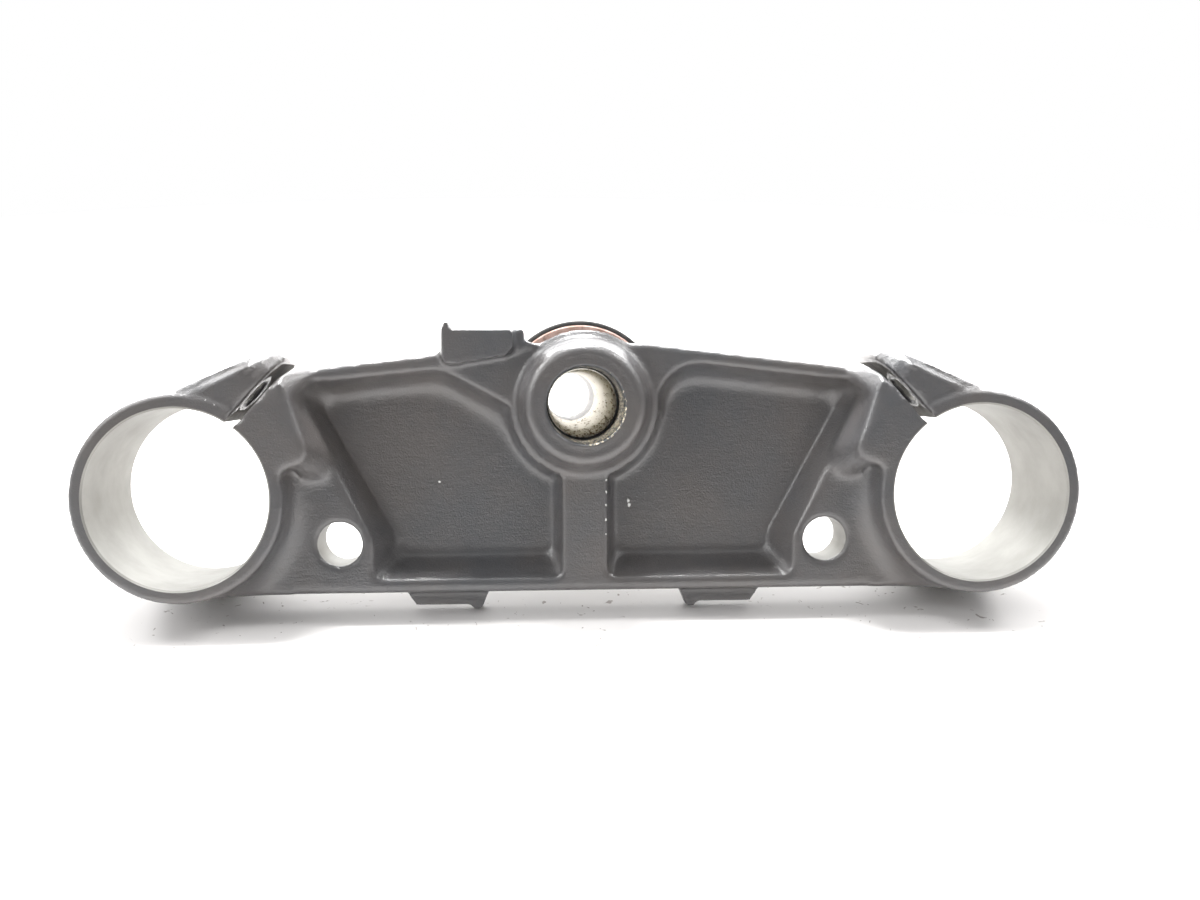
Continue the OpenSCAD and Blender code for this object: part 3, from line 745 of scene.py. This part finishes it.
# brighter behind, above and to the left, as in a white tent that is open towards the camera
def studioWorld():
    world = bpy.data.worlds.new("studio")
    world.use_nodes = True
    bpy.context.scene.world = world
    tree = world.node_tree
    way = addNode(tree, "TexCoord", {}).outputs["Generated"]
    along = addNode(tree, "VectorMath", {0: way, 1: room["towards"]}, operation="DOT_PRODUCT").outputs["Value"]
    tone = rampNode(tree, rangeNode(tree, along, *room["span"]), (0.0, 1.0), room["front"], room["back"])
    light = tree.nodes["Background"]
    setInputs(tree, light, {"Color": tone, "Strength": 1.0})
    white = addNode(tree, "Background", {"Color": room["seen"], "Strength": 1.0})
    seen = addNode(tree, "LightPath", {}).outputs["Is Camera Ray"]
    mix = addNode(tree, "MixShader", {0: seen, 1: light.outputs[0], 2: white.outputs[0]})
    setInputs(tree, tree.nodes["World Output"], {"Surface": mix.outputs[0]})


lamps = [{"name": "ceiling", "at": (-0.05, 0.28, 1.2), "size": (0.36, 0.22), "power": 32},
         {"name": "windowBehind", "at": (0.0, 1.3, 0.62), "size": (2.2, 0.8), "power": 40},
         {"name": "sideLeft", "at": (-0.9, -0.44, 0.62), "size": (0.4, 0.4), "power": 4},
         {"name": "panelLeft", "at": (-0.875, 0.08, 1.04), "size": (0.34, 0.34), "power": 8},
         {"name": "panelRight", "at": (0.875, 0.08, 1.04), "size": (0.34, 0.34), "power": 8}]
lampAim = Vector((0, -0.06, 0.03))


def addLamps():
    for lamp in lamps:
        data = bpy.data.lights.new(lamp["name"], "AREA")
        data.shape = "RECTANGLE"
        data.size, data.size_y = lamp["size"]
        data.energy = lamp["power"]
        obj = bpy.data.objects.new(lamp["name"], data)
        obj.location = lamp["at"]
        obj.rotation_euler = (lampAim - Vector(lamp["at"])).to_track_quat("-Z", "Y").to_euler()
        bpy.context.scene.collection.objects.link(obj)


# fitted to the photo: place in metres, turn in degrees, lens and sensor in mm
view = {"at": (-0.0141847, -0.3862424, 0.1558445), "turn": (70.64697, -0.67173, -3.22566), "lens": 34.168,
        "sensor": 36, "clipFrom": 0.01}


def addCamera():
    data = bpy.data.cameras.new("camera")
    data.sensor_fit = "HORIZONTAL"
    data.sensor_width = view["sensor"]
    data.lens = view["lens"]
    data.clip_start = view["clipFrom"]
    obj = bpy.data.objects.new("camera", data)
    obj.location = view["at"]
    obj.rotation_euler = [math.radians(a) for a in view["turn"]]
    bpy.context.scene.collection.objects.link(obj)
    bpy.context.scene.camera = obj


tableTop()
studioWorld()
addLamps()
addCamera()
bpy.context.scene.view_settings.view_transform = "Standard"
print("table, lamps and camera: set")
